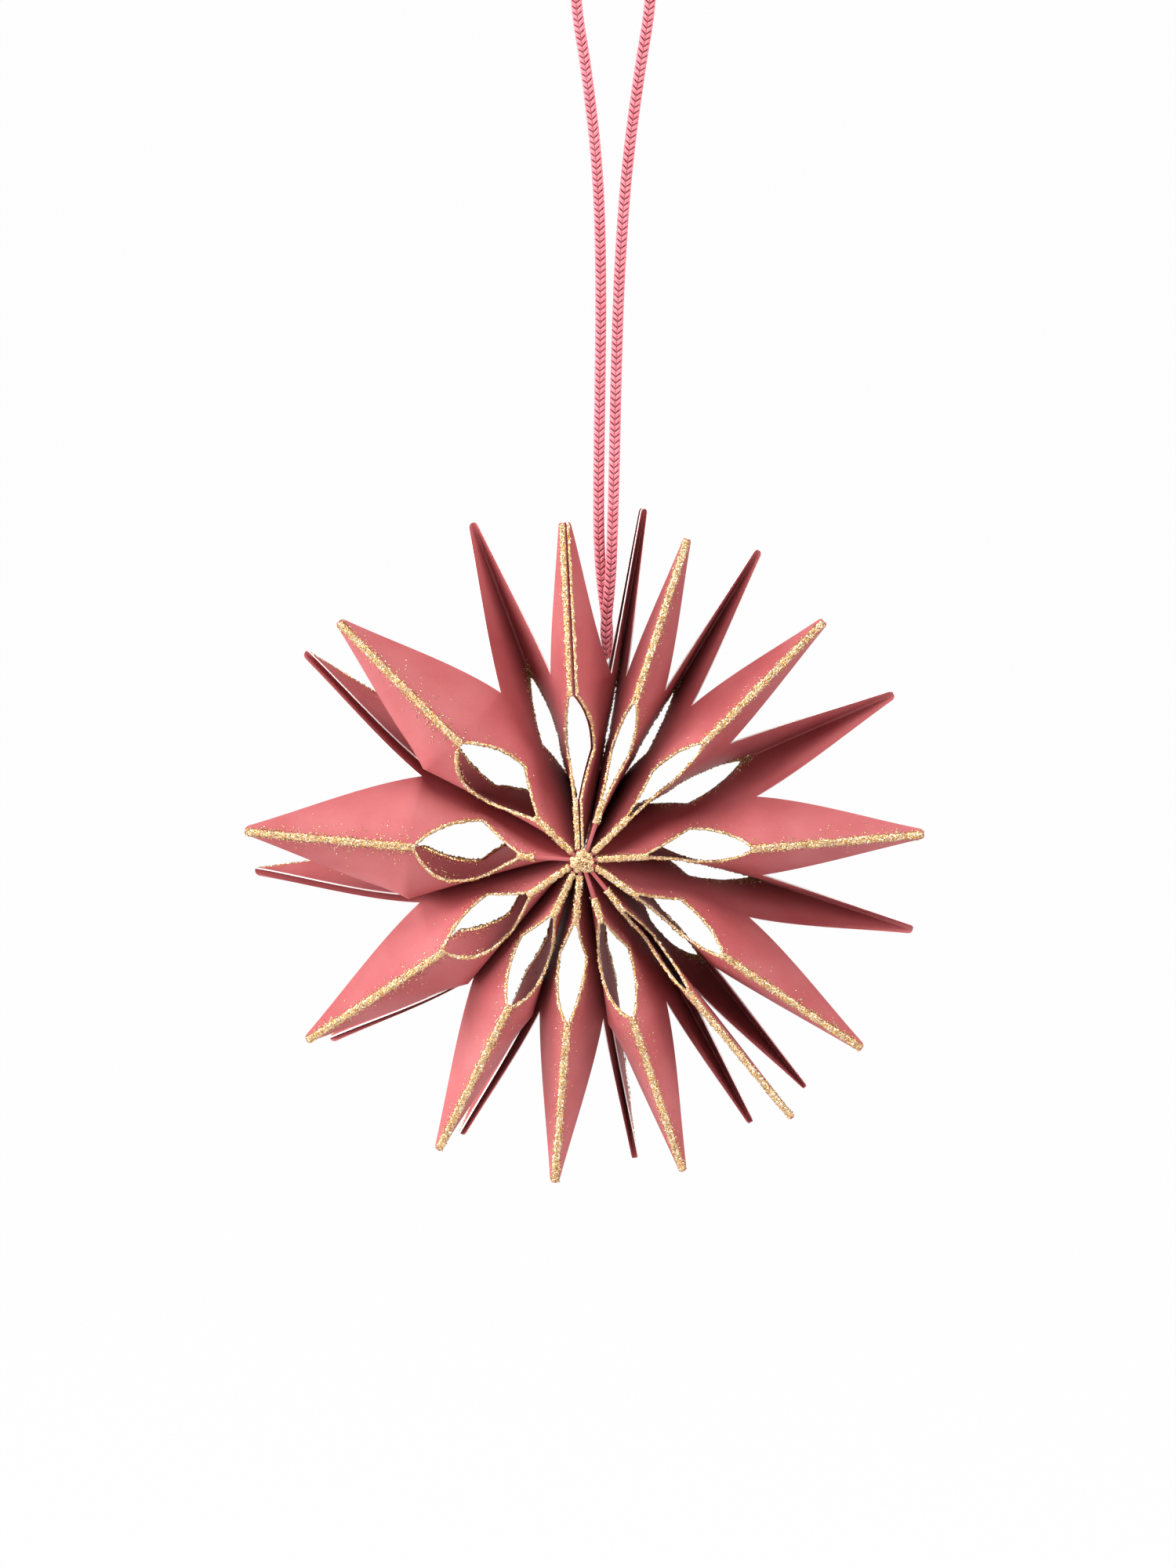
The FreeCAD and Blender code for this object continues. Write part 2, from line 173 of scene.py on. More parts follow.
def panel_lift(panel, lean, v, middle):
    """How far a panel's middle stands off its chord at radius v: stretched outwards from
    the hub, and bowed clockwise by bow + sway lean, which grows with v and levels off
    at the tips."""
    out = share(v) / share(NOTCH_RADIUS)
    rise = out - np.clip(out - 1, 0, None) ** 2 / (2 * (1 / share(NOTCH_RADIUS) - 1))
    bow = (BOW[panel] + SWAY[panel] * lean) * rise
    return (middle - HUB) * (STRETCH[panel] * out)[..., None] + NORMAL[panel] * bow[..., None]


def on_panel(panel, u, v, e):
    """Point of the skin e at share u from the left fold to the right one, at radius v:
    a (1 - u) + b u + 4 u (1 - u) lift, with a and b beside both folds and the lift
    leaning from one to the other by 2 u - 1."""
    panel, u, v, e = np.broadcast_arrays(panel, u, v, e)
    a, b = panel_edge(panel, 0, e, v), panel_edge(panel, 1, e, v)
    lift = panel_lift(panel, 2 * u - 1, v, (a + b) / 2)
    u = u[..., None]
    return a * (1 - u) + b * u + lift * 4 * u * (1 - u)


def on_half(panel, end, t, v, e):
    """Point of the half panel at an end, with t from 0 at its fold to 1 at the panel's
    middle or, beyond the notch, at its cut edge. There the half point is a flat blade,
    near (1 - t) + far t, and the arc's curl at the notch fades out as (1 - s)^3."""
    panel, t, v, e = np.broadcast_arrays(panel, t, v, e)
    notch, tips = np.full(v.shape, NOTCH_RADIUS), np.full(v.shape, TIP_RADIUS)
    arc = on_panel(panel, np.abs(end - t / 2), np.minimum(v, NOTCH_RADIUS), e)
    foot, middle = on_panel(panel, float(end), notch, e), on_panel(panel, 0.5, notch, e)
    near, corner = panel_edge(panel, end, e, v), panel_edge(panel, end, e, tips)
    inward = panel_edge(panel, 1 - end, e, tips) - corner
    tip = corner + inward / np.linalg.norm(inward, axis=-1, keepdims=True) * TIP_HALF_WIDTH
    chord = middle - foot
    s = np.clip((v - NOTCH_RADIUS) / (TIP_RADIUS - NOTCH_RADIUS), 0, 1)[..., None]
    t = t[..., None]
    outward = chord / np.linalg.norm(chord, axis=-1, keepdims=True)
    outward = outward * BULGE[panel][..., None] * 3 * s * (1 - s) ** 2
    far = middle * (1 - s) + tip * s + outward
    blade = near * (1 - t) + far * t + (arc - foot - chord * t) * (1 - s) ** 3
    return np.where((v > NOTCH_RADIUS)[..., None], blade, arc)


def half_pace(panel, end, v):
    """Length per t of a half panel beside its fold."""
    step = 0.02
    leg = on_half(panel, end, step, v, 0.0) - on_half(panel, end, 0.0, v, 0.0)
    return np.linalg.norm(leg, axis=-1) / step


def hole_share(panel, v):
    """Share of the panel that the hole takes: straight to its corner, then an arc."""
    rise = HOLE_HALF_WIDTH * (v - HOLE_INNER) / (HOLE_CORNER - HOLE_INNER)
    s = (v - HOLE_CORNER) / (HOLE_OUTER - HOLE_CORNER)
    fall = HOLE_HALF_WIDTH * (1 - s) + HOLE_BULGE * 4 * s * (1 - s)
    return np.clip(np.where(v < HOLE_CORNER, rise, fall), 0, None) / panel_width(panel, v)


# --- meshes -----------------------------------------------------------------

def grid_quads(rows, columns, flip=False, closed=False):
    """Corner numbers of the quads of a grid of points, row after row. A closed grid's
    last column joins its first."""
    n = np.arange(rows * columns).reshape(rows, columns)
    if closed:
        n = np.concatenate([n, n[:, :1]], 1)
    quads = np.stack([n[:-1, :-1], n[:-1, 1:], n[1:, 1:], n[1:, :-1]], -1).reshape(-1, 4)
    return quads[:, ::-1] if flip else quads


def new_object(name, points, faces, materials, index, merge, sharp):
    """Object with its mesh from arrays of points, of quads and of their materials."""
    mesh = bpy.data.meshes.new(name)
    points = np.ascontiguousarray(points.reshape(-1, 3), dtype=np.float32)
    mesh.vertices.add(len(points))
    mesh.vertices.foreach_set("co", points.ravel())
    size = faces.shape[1]
    mesh.loops.add(faces.size)
    mesh.loops.foreach_set("vertex_index", np.ascontiguousarray(faces, dtype=np.int32).ravel())
    mesh.polygons.add(len(faces))
    mesh.polygons.foreach_set("loop_start", np.arange(len(faces), dtype=np.int32) * size)
    mesh.polygons.foreach_set("material_index", np.ascontiguousarray(index, dtype=np.int32))
    for material in materials:
        mesh.materials.append(material)
    mesh.update(calc_edges=True)
    work = bmesh.new()
    work.from_mesh(mesh)
    bmesh.ops.remove_doubles(work, verts=work.verts, dist=merge)
    bmesh.ops.recalc_face_normals(work, faces=work.faces)
    work.to_mesh(mesh)
    work.free()
    mesh.polygons.foreach_set("use_smooth", np.ones(len(mesh.polygons), dtype=bool))
    if sharp:
        mesh.set_sharp_from_angle(angle=sharp)
    item = bpy.data.objects.new(name, mesh)
    bpy.context.scene.collection.objects.link(item)
    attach(item, "root")
    return item


class Pile:
    """Points and quads of several shapes with their materials, gathered for one mesh."""

    def __init__(self):
        self.points, self.faces, self.index, self.count = [], [], [], 0

    def add(self, points, faces, material=0):
        points = points.reshape(-1, 3)
        self.points.append(points)
        self.faces.append(faces + self.count)
        self.index.append(np.full(len(faces), material))
        self.count += len(points)

    def grid(self, block, material=0, flip=False, closed=False):
        self.add(block, grid_quads(*block.shape[:2], flip, closed), material)

    def glue(self, points, normals, height, drift, rng, flip):
        """Rough bead on rows of points, whose height drifts between two shares."""
        h = height * wander(rng, len(points[0]), 5, *drift)
        loop = bead(np.stack(points, 1), np.stack(normals, 1), h, rng, height * GRAIN)
        self.grid(loop, 0, flip, True)

    def object(self, name, materials, merge=1e-7, sharp=0):
        return new_object(name, np.concatenate(self.points), np.concatenate(self.faces),
                          materials, np.concatenate(self.index), merge, sharp)


def card_rows():
    """Radii of the rows of points along a panel."""
    cuts = [(HUB_RING, HOLE_INNER, 6), (HOLE_INNER, HOLE_CORNER, 8), (HOLE_CORNER, HOLE_OUTER, 12),
            (HOLE_OUTER, NOTCH_RADIUS, 3), (NOTCH_RADIUS, TIP_RADIUS - TIP_ROUND, 24),
            (TIP_RADIUS - TIP_ROUND, TIP_RADIUS, 5)]
    rows = [np.linspace(a, b, n, endpoint=False) for a, b, n in cuts]
    return np.concatenate(rows + [np.array([TIP_RADIUS])])


def folded_card(columns, materials):
    """The whole folded strip: two skins of each half panel as grids from the fold or
    hole to the panel's middle or cut edge, the cut rims between them, and rounded
    crests between neighbouring panels."""
    v = card_rows()
    t = np.linspace(0, 1, columns)
    pile = Pile()
    last = np.clip((v - TIP_RADIUS + TIP_ROUND) / TIP_ROUND, 0, 1)
    blunt = np.sqrt(1 - 0.8 * last ** 2)
    in_hole = np.flatnonzero((v >= HOLE_INNER - 1e-9) & (v <= HOLE_OUTER + 1e-9))
    beyond = np.flatnonzero(v >= NOTCH_RADIUS - 1e-9)
    for panel in range(25):
        near = np.where((v > HOLE_INNER) & (v < HOLE_OUTER), 2 * hole_share(panel, v), 0)
        for end in (0, 1):
            reach = near[:, None] * (1 - t) + blunt[:, None] * t
            skins = [on_half(panel, end, reach, v[:, None], e) for e in (0, CARD)]
            pile.grid(skins[0], 0)
            pile.grid(skins[1], 0, True)
            pile.grid(np.stack([skins[0][beyond, -1], skins[1][beyond, -1]], 1), 1)
            rim = in_hole if PANEL_CUT[panel] != end else np.arange(len(v))
            pile.grid(np.stack([skins[0][rim, 0], skins[1][rim, 0]], 1), 1)
            for row in (0, -1):
                pile.grid(np.stack([skins[0][row], skins[1][row]], 0), 1)
    bend = np.linspace(0, 1, 5)
    for fold in range(24):
        left, right = neighbours(fold)
        for rows in (v[v <= HOLE_INNER + 1e-9], v[v >= HOLE_OUTER - 1e-9]):
            rows = rows[:, None]
            a, b = panel_edge(left, 1, 0, rows), panel_edge(right, 0, CARD, rows)
            up = np.array([0, SIDE[fold], 0]) * CREST_RISE
            arch = a + (b - a) * bend[:, None] + up * (1 - (2 * bend[:, None] - 1) ** 2)
            c, d = panel_edge(left, 1, CARD, rows), panel_edge(right, 0, 0, rows)
            pile.grid(arch, 0)
            pile.grid(np.concatenate([c, d], 1), 0)
            under = c + (d - c) * bend[:, None]
            for row in (0, -1):
                pile.grid(np.stack([arch[row], under[row]], 0), 1)
    return pile.object("star_card", materials, merge=1e-6, sharp=0.7)


# --- glitter glue -----------------------------------------------------------

GLUE_FOOT = 0.00005          # how far a bead's underside lies inside the card
GRAIN = 0.36                 # a bead's roughness as a share of its height
BEAD_STEP = 0.00032          # between a bead's rows along a fold or a cut end
RIM_STEP = 0.00028           # and along a hole
HOLE_LAP = (0.0008, 0.0004)  # how far a line runs past a hole's inner and outer end
BEYOND_HOLE = (1.1, 0.55)    # share of the line's size there, on front and on back folds
FLAKE_HALF = 0.00002         # half a flake's thickness
FLAKE_STOP = (0.002, 0.014)  # bare length before the tips of front and of back folds
LOOSE_COUNT = 150
LOOSE_START = 0.0005         # nearest loose flake to a fold or a hole's edge
LOOSE_SPREAD = 0.0012        # and the mean distance beyond it
LOOSE_SIZE = (0.00014, 0.0003)
LOOSE_LIFT = 0.00004
CRUST_PAST = 0.002           # how far the crust runs past the loose flakes
CRUST_WIDTH = 0.0007
CRUST_SIZE = (0.00018, 0.00036)
CRUST_LIFT = 0.0003
DUST_BUNCH = 0.0012          # spread of the dust gathered at a hole's outer end
DUST_SPREAD = 0.0005         # mean distance of dust from a hole's rim
DUST_SIZE = (0.0002, 0.00042)
DUST_LIFT = 0.00003
FLAT, STEEP = 0.25, 0.9      # how far flakes tilt
DUST_COUNT = (60, 240)       # flakes behind each side of a front and of a back hole
BLOB_SHARE = 0.92            # of the blob's radius in the frame, before its lumps
BLOB_HEIGHT = 0.0008
BLOB_LIMIT = 0.00155         # highest lump
BLOB_FOOT = 0.0004


def bead(base, outward, height, rng, roughness):
    """Closed rough bead on rows of base points: each row is raised along `outward` by
    height * (1 - 0.85 t^4), t running from -1 to 1 across it, and by a random part. The
    underside lies just inside the surface, and both ends run out to a point."""
    rows, columns = base.shape[:2]
    t = np.linspace(-1, 1, columns)
    lift = height[:, None] * (1 - 0.85 * t ** 4) + roughness * rng.normal(size=(rows, columns))
    lift = np.maximum(lift, 0.00004) * (1 - (np.abs(t) > 0.99) * 0.7)
    top = base + outward * lift[..., None]
    top = top + (rng.random(top.shape) - 0.5) * roughness * 0.8
    under = [-1, columns // 2, 0]
    low = base[:, under] - outward[:, under] * GLUE_FOOT
    loop = np.concatenate([top, low], 1)
    for row in (0, -1):
        loop[row] = base[row].mean(0)
    return loop


def wander(rng, rows, every, low, high):
    """A value that drifts between low and high along the rows, smoothed over `every`."""
    knots = rng.uniform(low, high, rows // every + 3)
    return np.interp(np.arange(rows) / every, np.arange(len(knots)), knots)


def near_fold(panel, end, v, w, lift=0.0):
    """Point on a panel's outer skin at the distance w from its fold, and that skin's
    outward direction. The outer skin is the left one at its right fold, and the other
    way round."""
    skin = 0.0 if end else CARD
    step = 0.0002
    t = w / half_pace(panel, end, v)
    point = on_half(panel, end, t, v, skin)
    across = on_half(panel, end, t + 0.02, v, skin) - point
    along = on_half(panel, end, t, v - step, skin) - point
    normal = np.cross(across, along)
    normal *= np.sign((normal * NORMAL[panel]).sum(-1, keepdims=True)) * (-1.0 if end else 1.0)
    normal /= np.linalg.norm(normal, axis=-1, keepdims=True)
    return point + normal * lift, normal


def flakes(points, normals, size, rng, tilt):
    """Thin square flakes of glitter: at each point a small flat box of the given size,
    turned at random and tilted from its normal by a random share of `tilt`."""
    count = len(points)
    n = normals + rng.normal(size=(count, 3)) * tilt
    n /= np.linalg.norm(n, axis=1)[:, None]
    a = np.cross(n, rng.normal(size=(count, 3)))
    a /= np.linalg.norm(a, axis=1)[:, None]
    b = np.cross(n, a)
    half = size[:, None] / 2
    corner = [points + a * half * i + b * half * j + n * k * FLAKE_HALF
              for k in (-1, 1) for i, j in ((-1, -1), (1, -1), (1, 1), (-1, 1))]
    sides = np.array([[3, 2, 1, 0], [4, 5, 6, 7], [0, 1, 5, 4],
                      [1, 2, 6, 5], [2, 3, 7, 6], [3, 0, 4, 7]])
    faces = sides[None] + np.arange(count)[:, None, None] * 8
    return np.stack(corner, 1).reshape(-1, 3), faces.reshape(-1, 4)


def rows_between(low, high, step):
    return np.linspace(low, high, max(int((high - low) / step), 4))


def skin_rows(panel, end, v, w):
    """Points and normals on the outer skin at three growing shares of w from a fold."""
    pairs = [near_fold(panel, end, v, w * part) for part in (0.33, 0.66, 1)]
    return [point for point, normal in pairs], [normal for point, normal in pairs]


def crest_bead(pile, fold, left, right, low, high, width, height, rng):
    """Bead over a fold's crest and down its two sides, or one side where the other
    panel is None."""
    v = rows_between(low, high, BEAD_STEP)
    w = width * wander(rng, len(v), 7, 0.75, 1.3)
    up = np.broadcast_to([0, SIDE[fold], 0], (len(v), 3)).astype(float)
    (left_points, left_normals), (right_points, right_normals) = [
        ([], []) if panel is None else skin_rows(panel, end, v, w)
        for panel, end in ((left, 1), (right, 0))]
    a, b = beside(fold, -1, CREST_HALF, 0, v), beside(fold, 1, CREST_HALF, 0, v)
    crest = [a + (b - a) * part for part in (0, 0.33, 0.67, 1)]
    lean = [up * 0.7 + (normals[-1] if normals else up) * 0.7
            for normals in (left_normals, right_normals)]
    pile.glue(left_points[::-1] + crest + right_points,
              left_normals[::-1] + [lean[0], up, up, lean[1]] + right_normals,
              height, (0.7, 1.25), rng, SIDE[fold] < 0)


def hole_bead(pile, panel, end, low, high, width, height, rng):
    """Bead along a hole's cut edge: on the outer skin beside it and over the rim."""
    v = rows_between(low, high, RIM_STEP)
    w = width * wander(rng, len(v), 7, 0.7, 1.35)
    reach = panel_width(panel, v)
    edge = hole_share(panel, v)
    skin = 0.0 if end else CARD
    out = NORMAL[panel] * (-1.0 if end else 1.0)
    shares = [edge + w * part / reach for part in (1, 0.66, 0.33, 0)]
    points = [on_panel(panel, 1 - u if end else u, v, skin) for u in shares]
    normals = [np.broadcast_to(out, (len(v), 3))] * len(shares)
    step = 0.0002 / reach
    inward = on_panel(panel, 1 - edge + step if end else edge - step, v, skin) - points[-1]
    inward /= np.linalg.norm(inward, axis=1)[:, None]
    normals[-1] = out * 0.7 + inward * 0.7
    for e in (0.5, 0.95):
        u = 1 - edge if end else edge
        points.append(on_panel(panel, u, v, skin + (CARD - 2 * skin) * e))
        normals.append(inward)
    pile.glue(points, normals, height, (0.6, 1.2), rng, bool(end))


def cut_bead(pile, panel, end, low, high, width, height, rng):
    """Bead along the strip's own cut end: over its rim and on its outer skin."""
    v = rows_between(low, high, BEAD_STEP)
    w = width * wander(rng, len(v), 7, 0.6, 1.2)
    skin = 0.0 if end else CARD
    up = np.broadcast_to([0, SIDE[end], 0], (len(v), 3)).astype(float)
    rim = [panel_edge(panel, end, e, v) for e in (CARD - skin, skin)]
    points, normals = skin_rows(panel, end, v, w)
    pile.glue([rim[0], (rim[0] + rim[1]) / 2, rim[1]] + points,
              [up, up, up * 0.7 + normals[-1] * 0.7] + normals,
              height, (0.6, 1.2), rng, bool(end))


def fold_flakes(pile, fold, left, right, start, rng):
    """Loose flakes on the outer skins beside a fold's line or hole, thinning away from
    it, and a crust of steeper flakes on the line itself."""
    for panel, end in ((left, 1), (right, 0)):
        if panel is None:
            continue
        reach = TIP_RADIUS - FLAKE_STOP[fold % 2]
        v = rng.uniform(start, reach, LOOSE_COUNT)
        hole = hole_share(panel, v) * panel_width(panel, v)
        clear = np.where((v > HOLE_INNER) & (v < HOLE_OUTER), hole, 0)
        w = clear + LOOSE_START + rng.exponential(LOOSE_SPREAD, LOOSE_COUNT)
        blade = on_half(panel, end, 1.0, v, 0.0) - on_half(panel, end, 0.0, v, 0.0)
        keep = w < 0.7 * np.linalg.norm(blade, axis=-1)
        v, w = v[keep], w[keep]
        p, n = near_fold(panel, end, v, w, LOOSE_LIFT)
        pile.add(*flakes(p, n, rng.uniform(*LOOSE_SIZE, len(v)), rng, FLAT))
        crust = rng.uniform(start, reach + CRUST_PAST, LOOSE_COUNT)
        crust = crust[(crust < HOLE_INNER) | (crust > HOLE_OUTER)]
        w = rng.uniform(0, CRUST_WIDTH, len(crust))
        p, n = near_fold(panel, end, crust, w, CRUST_LIFT)
        pile.add(*flakes(p, n, rng.uniform(*CRUST_SIZE, len(crust)), rng, STEEP))


def dust(pile, left, right, count, rng):
    """Glitter that has come through behind a hole, on the inner skins along its rim:
    half of it is gathered at the hole's outer end."""
    for panel, end in ((left, 1), (right, 0)):
        v = np.where(rng.random(count) < 0.5, HOLE_OUTER + rng.normal(0, DUST_BUNCH, count),
                     rng.uniform(HOLE_INNER + 0.001, HOLE_OUTER, count))
        hole = np.where(v < HOLE_OUTER, hole_share(panel, v), 0)
        w = hole * panel_width(panel, v) + 0.0001 + rng.exponential(DUST_SPREAD, count)
        u = w / panel_width(panel, v)
        skin = CARD if end else 0.0
        out = NORMAL[panel] * (1.0 if end else -1.0)
        p = on_half(panel, end, 2 * u, v, skin)
        n = np.broadcast_to(out, p.shape)
        pile.add(*flakes(p + n * DUST_LIFT, n, rng.uniform(*DUST_SIZE, count), rng, STEEP))


def blob(side, radius, height, rng):
    """Knobbly dome on the side -1 (front) or 1 (back): rings of a cap whose height falls
    as sqrt(1 - rho^2.6), raised by 14 round lumps and a random part, held under the
    blob's limit and closed underneath."""
    rings, around = 22, 72
    rho = np.linspace(0, 1, rings)[:, None]
    phi = np.linspace(0, 2 * np.pi, around, endpoint=False)[None]
    outline = 1 + 0.10 * np.sin(3 * phi + 1) + 0.08 * np.sin(5 * phi + 2) + 0.07 * np.sin(9 * phi)
    x = radius * rho * np.sin(phi) * outline
    z = radius * rho * np.cos(phi) * outline
    y = height * np.sqrt(np.clip(1 - rho ** 2.6, 0, 1)) * np.ones_like(phi)
    lumps = zip(rng.normal(0, 0.45 * radius, 14), rng.normal(0, 0.45 * radius, 14),
                rng.uniform(0.0004, 0.0009, 14), rng.uniform(0.0001, 0.00045, 14))
    for cx, cz, size, rise in lumps:
        y = y + rise * np.exp(-((x - cx) ** 2 + (z - cz) ** 2) / size ** 2) * (rho < 0.98)
    y = np.minimum(y + rng.normal(0, 0.00007, y.shape) * (rho > 0.05), BLOB_LIMIT)
    top = np.stack([x, side * (STRIP_DEPTH / 2 + y), z], -1)
    foot_y = np.full_like(x[-1:], side * (STRIP_DEPTH / 2 - BLOB_FOOT))
    low = np.stack([x[-1:], foot_y, z[-1:]], -1)
    foot = np.broadcast_to(low.mean(1, keepdims=True), low.shape)
    return np.concatenate([top, low, foot]) + HUB


# --- cord -------------------------------------------------------------------

STITCH = 0.00122
CORE_RADIUS = 0.00062
PLY_RING = 0.0009            # from the cord's middle to a ply's middle
PLY_DIVE = 0.00022           # how far a ply's ends sink from that ring
PLY_RADIUS = 0.0002
PLY_RISE = 1.25              # a ply's height over its width
PLY_SHIFTS = (-0.14, 0.14)   # the two plies of a stitch, in stitches along the cord
PLY_CLIMB = 1.8              # stitches that a ply runs along the cord
END_STITCHES = 1.2           # plain core before the first stitch, in stitches
PLY_TURN = (-8, 188)         # degrees round the cord, from its front line to its back line
GROOVE_PAINTED_SHADE = 0.45          # the core's colour as a share of the yarns': a darker core, painted shade in the grooves between the stitches
END_SHARE = 0.36             # thickness at the pressed ends, as a share of the cord's
END_TAPER = 0.0055
HAIRS = 170
HAIR_ROOT = 0.00088          # from the cord's middle to a hair's foot
HAIR_RADIUS = 0.00002
HAIR_LENGTH = (0.0003, 0.0011)
FRONT_ROUTE = [(0.00418, -0.00146, 0.0381), (0.0037, -0.00233, 0.0434), (0.00484, -0.0011, 0.054),
               (0.0052, -0.0005, 0.065), (0.00555, -0.0001, 0.079), (0.00585, 0, 0.096),
               (0.0065, 0, 0.117), (0.0079, 0, 0.137), (0.0104, 0, 0.156), (0.0125, 0, 0.1685),
               (0.0125, 0, 0.176), (0.01055, 0, 0.17935)]
BACK_ROUTE = [(0.00456, -0.00064, 0.0381), (0.0044, -0.00004, 0.0434), (0.0030, 0.0014, 0.053),
              (0.0024, 0.0010, 0.061), (0.00235, 0.0003, 0.073), (0.00265, 0, 0.092),
              (0.0029, 0, 0.115), (0.0023, 0, 0.136), (0, 0, 0.156), (-0.0021, 0, 0.1685),
              (-0.0021, 0, 0.176), (-0.00015, 0, 0.17935)]
CROWN = [(0.00715, 0, 0.1813), (0.00325, 0, 0.1813)]


def cord_route():
    """Control points of the cord: out of the join's notch, up and over, and back."""
    return np.array([HUB + p for p in FRONT_ROUTE + CROWN + BACK_ROUTE[::-1]])


def spline_points(route, steps):
    """Points of the cord's smooth spline, which has the route's points as its poles."""
    curve = bpy.data.curves.new("cord_line", "CURVE")
    curve.dimensions = "3D"
    spline = curve.splines.new("NURBS")
    spline.points.add(len(route) - 1)
    for pole, p in zip(spline.points, route):
        pole.co = (*p, 1)
    spline.order_u = 3
    spline.use_endpoint_u = True
    spline.resolution_u = steps
    item = bpy.data.objects.new("cord_line", curve)
    bpy.context.scene.collection.objects.link(item)
    bpy.context.view_layer.update()
    mesh = bpy.data.meshes.new_from_object(item)
    points = np.empty(len(mesh.vertices) * 3)
    mesh.vertices.foreach_get("co", points)
    bpy.data.objects.remove(item)
    bpy.data.curves.remove(curve)
    bpy.data.meshes.remove(mesh)
    return points.reshape(-1, 3)


def along(points, step):
    """The same line at even steps: its distances, points and tangents, and two unit
    directions across it, one to its side and one to the star's front."""
    leg = np.linalg.norm(np.diff(points, axis=0), axis=1)
    at = np.concatenate([[0], np.cumsum(leg)])
    s = np.linspace(0, at[-1], int(at[-1] / step) + 1)
    line = np.stack([np.interp(s, at, points[:, i]) for i in range(3)], 1)
    tangent = np.gradient(line, axis=0)
    tangent /= np.linalg.norm(tangent, axis=1)[:, None]
    side = np.cross(tangent, (0, 1, 0))
    side /= np.linalg.norm(side, axis=1)[:, None]
    return s, line, tangent, side, np.cross(tangent, side)


def braid(pile, s, line, tangent, side, front, slim):
    """Herringbone braid round a plain core. Each stitch is two plies side by side, and
    each ply a closed spindle that climbs from the cord's front line round one side to
    its back line, with a groove before the next stitch. Along a ply, with b from -1 to
    1, its ring falls by the dive times b^4 and its radius as sqrt(1 - b^4)."""
    around = np.linspace(0, 2 * np.pi, 10, endpoint=False)
    core = side[:, None] * np.cos(around)[:, None] + front[:, None] * np.sin(around)[:, None]
    core = line[:, None] + core * (CORE_RADIUS * slim)[:, None, None]
    core[0], core[-1] = line[0], line[-1]
    # material 1 darkens the core, painted shade in the grooves between the stitches
    pile.grid(core, 1, True, True)
    at = np.arange(END_STITCHES * STITCH, s[-1] - END_STITCHES * STITCH, STITCH)
    up = np.sign(np.interp(at, s, tangent[:, 2]))[:, None]
    t = np.linspace(0, 1, 11)
    bend = 2 * t - 1
    turn = np.radians(PLY_TURN[0] + (PLY_TURN[1] - PLY_TURN[0]) * t)[:, None]
    ring = np.linspace(0, 2 * np.pi, 6, endpoint=False)
    quads = grid_quads(len(t), len(ring), True, True)
    for ply in PLY_SHIFTS:
        where = at[:, None] + up * ((t - 0.5) * PLY_CLIMB + ply) * STITCH

        def along_cord(values):
            return np.stack([np.interp(where, s, column) for column in values.T], -1)

        size = np.interp(where, s, slim)[..., None]
        for a in (-1, 1):
            out = along_cord(front) * np.cos(turn) + along_cord(side) * np.sin(turn) * a
            out /= np.linalg.norm(out, axis=-1, keepdims=True)
            centre = along_cord(line) + out * size * (PLY_RING - PLY_DIVE * bend ** 4)[:, None]
            run = np.gradient(centre, axis=1)
            across = np.cross(run, out)
            across /= np.linalg.norm(across, axis=-1, keepdims=True)
            up_out = np.cross(across, run)
            up_out /= np.linalg.norm(up_out, axis=-1, keepdims=True)
            width = size * (PLY_RADIUS * np.sqrt(1 - bend ** 4))[:, None]
            loop = centre[:, :, None] + width[:, :, None] * (
                across[:, :, None] * np.cos(ring)[:, None]
                + up_out[:, :, None] * np.sin(ring)[:, None] * PLY_RISE)
            starts = np.arange(len(at))[:, None, None] * len(t) * len(ring)
            pile.add(loop, (quads[None] + starts).reshape(-1, 4))


# --- materials --------------------------------------------------------------

class Value:
    """A number that a material works out. Python's operators add its Math nodes."""

    def __init__(self, finish, socket):
        self.finish, self.socket = finish, socket

    def maths(self, operation, a, b=0.0):
        node = self.finish.node("ShaderNodeMath", {"operation": operation}, {0: a, 1: b})
        return Value(self.finish, node.outputs[0])

    def __add__(self, other):
        return self.maths("ADD", self, other)

    def __sub__(self, other):
        return self.maths("SUBTRACT", self, other)

    def __rsub__(self, other):
        return self.maths("SUBTRACT", other, self)

    def __mul__(self, other):
        return self.maths("MULTIPLY", self, other)

    def __pow__(self, other):
        return self.maths("POWER", self, other)

    __radd__, __rmul__ = __add__, __mul__


